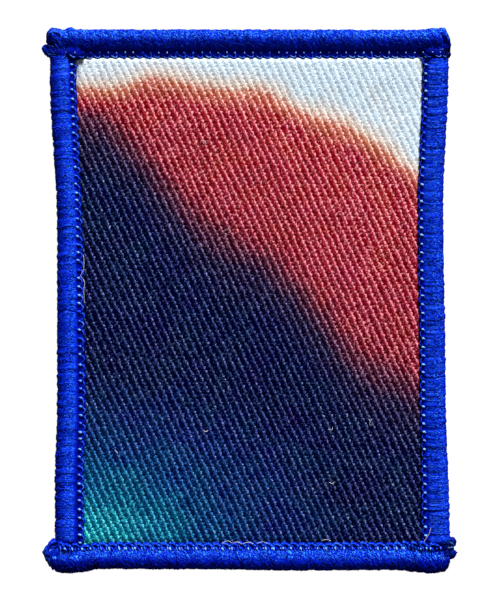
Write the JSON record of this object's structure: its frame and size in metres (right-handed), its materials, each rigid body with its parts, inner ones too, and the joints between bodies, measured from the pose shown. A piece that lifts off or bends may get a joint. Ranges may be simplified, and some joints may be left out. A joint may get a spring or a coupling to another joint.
{
  "type": "clothing patch",
  "caption": "Rectangular sew-on cloth patch: printed twill held in four raised overedged thread borders, with cut and knotted thread ends at its corners.",
  "frame": {"origin": "middle of the patch on the surface it lies on, at its lowest level", "axes": "+X to the right and +Y to the top edge as the printed face is seen, +Z out of the printed face"},
  "size_m": [0.0624, 0.0818, 0.0028],
  "materials": {
    "printed_twill": "dye-printed cotton and polyester 3/1 twill, matt",
    "border_thread": "royal blue rayon embroidery thread, overedged, soft sheen",
    "thread_ends": "cut and heat-sealed ends of the border thread, darkened"
  },
  "bodies": {
    "root": {"ground_cloth": "printed_twill", "border_top": "border_thread", "border_bottom": "border_thread", "border_left": "border_thread", "border_right": "border_thread", "tail_top_left": "thread_ends", "tail_top_right": "thread_ends", "tail_bottom_left": "thread_ends", "knot_right_upper": "thread_ends", "knot_right_lower": "thread_ends"}
  },
  "joints": []
}
